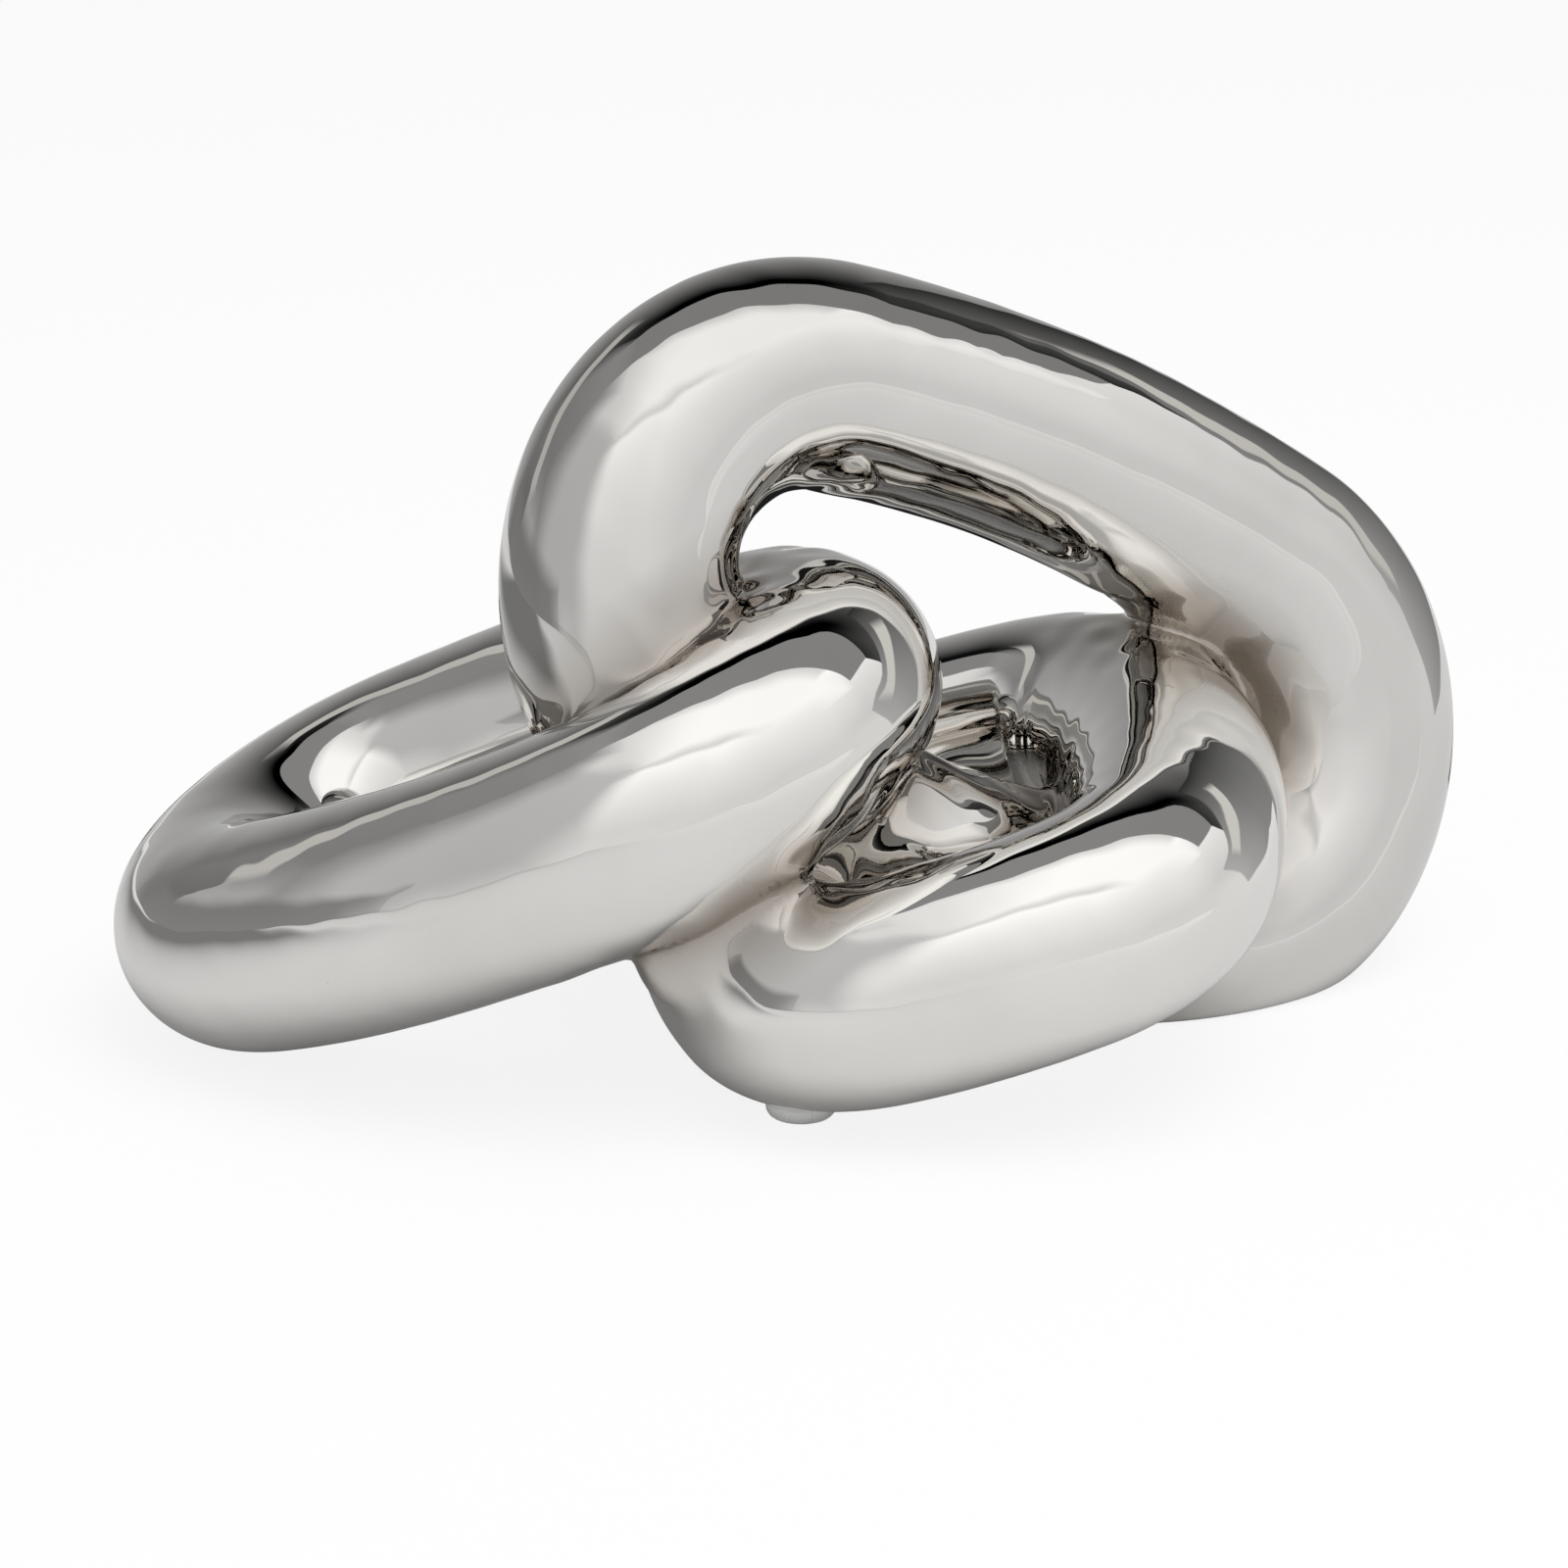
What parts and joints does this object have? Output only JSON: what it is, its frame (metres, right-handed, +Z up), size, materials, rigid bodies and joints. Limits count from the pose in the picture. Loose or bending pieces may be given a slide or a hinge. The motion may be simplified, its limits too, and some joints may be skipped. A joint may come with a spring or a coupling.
{
  "type": "chain link sculpture",
  "caption": "Table ornament of fat oval ceramic links passed through each other as in a chain, fused where they touch and plated mirror silver, standing on a cut foot and a clear bumper.",
  "frame": {"origin": "on the table, under the middle of the sculpture's box", "axes": "+X along the sculpture towards the standing link's low end, -Y towards the viewer in front, +Z up"},
  "size_m": [0.3009, 0.1888, 0.1698],
  "materials": {
    "silver_glaze": "mirror-bright silver plating over glazed ceramic",
    "clear_bumper": "clear soft plastic, slightly milky"
  },
  "bodies": {
    "root": {"left_link": "silver_glaze", "standing_link": "silver_glaze", "standing_link_closing_piece": "silver_glaze", "front_link": "silver_glaze", "front_bumper": "clear_bumper"}
  },
  "joints": []
}
